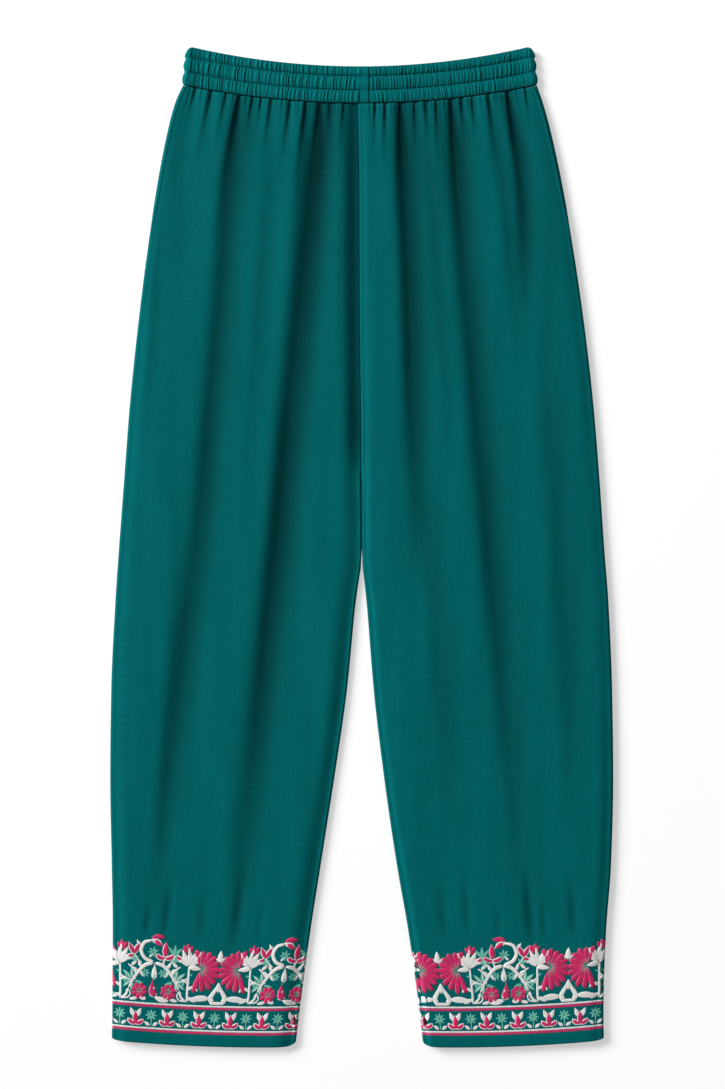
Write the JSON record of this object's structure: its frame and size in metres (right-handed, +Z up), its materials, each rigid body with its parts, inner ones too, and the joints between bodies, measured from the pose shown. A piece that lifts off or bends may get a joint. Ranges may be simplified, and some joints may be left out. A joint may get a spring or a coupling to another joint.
{
  "type": "embroidered pull-on trousers laid flat",
  "caption": "Wide pull-on trousers laid flat, with a gathered elastic waistband and legs that narrow to floral embroidered hem borders.",
  "frame": {"origin": "middle of the part's footprint, on the surface it lies on", "axes": "+Y up the legs towards the waistband, +X to the viewer's right, +Z up out of the surface through the front"},
  "size_m": [0.4925, 0.9781, 0.0071],
  "materials": {
    "teal_cloth": "matt woven viscose and cotton cloth, deep teal",
    "waistband_cloth": "the same teal cloth, gathered on elastic",
    "white_thread": "off-white satin stitch embroidery",
    "pink_thread": "magenta pink satin stitch embroidery",
    "mint_thread": "mint green satin stitch embroidery"
  },
  "bodies": {
    "root": {"front_left": "teal_cloth", "front_right": "teal_cloth", "back_left": "teal_cloth", "back_right": "teal_cloth", "waistband_front_left": "waistband_cloth", "waistband_front_right": "waistband_cloth", "waistband_back": "waistband_cloth"}
  },
  "joints": []
}
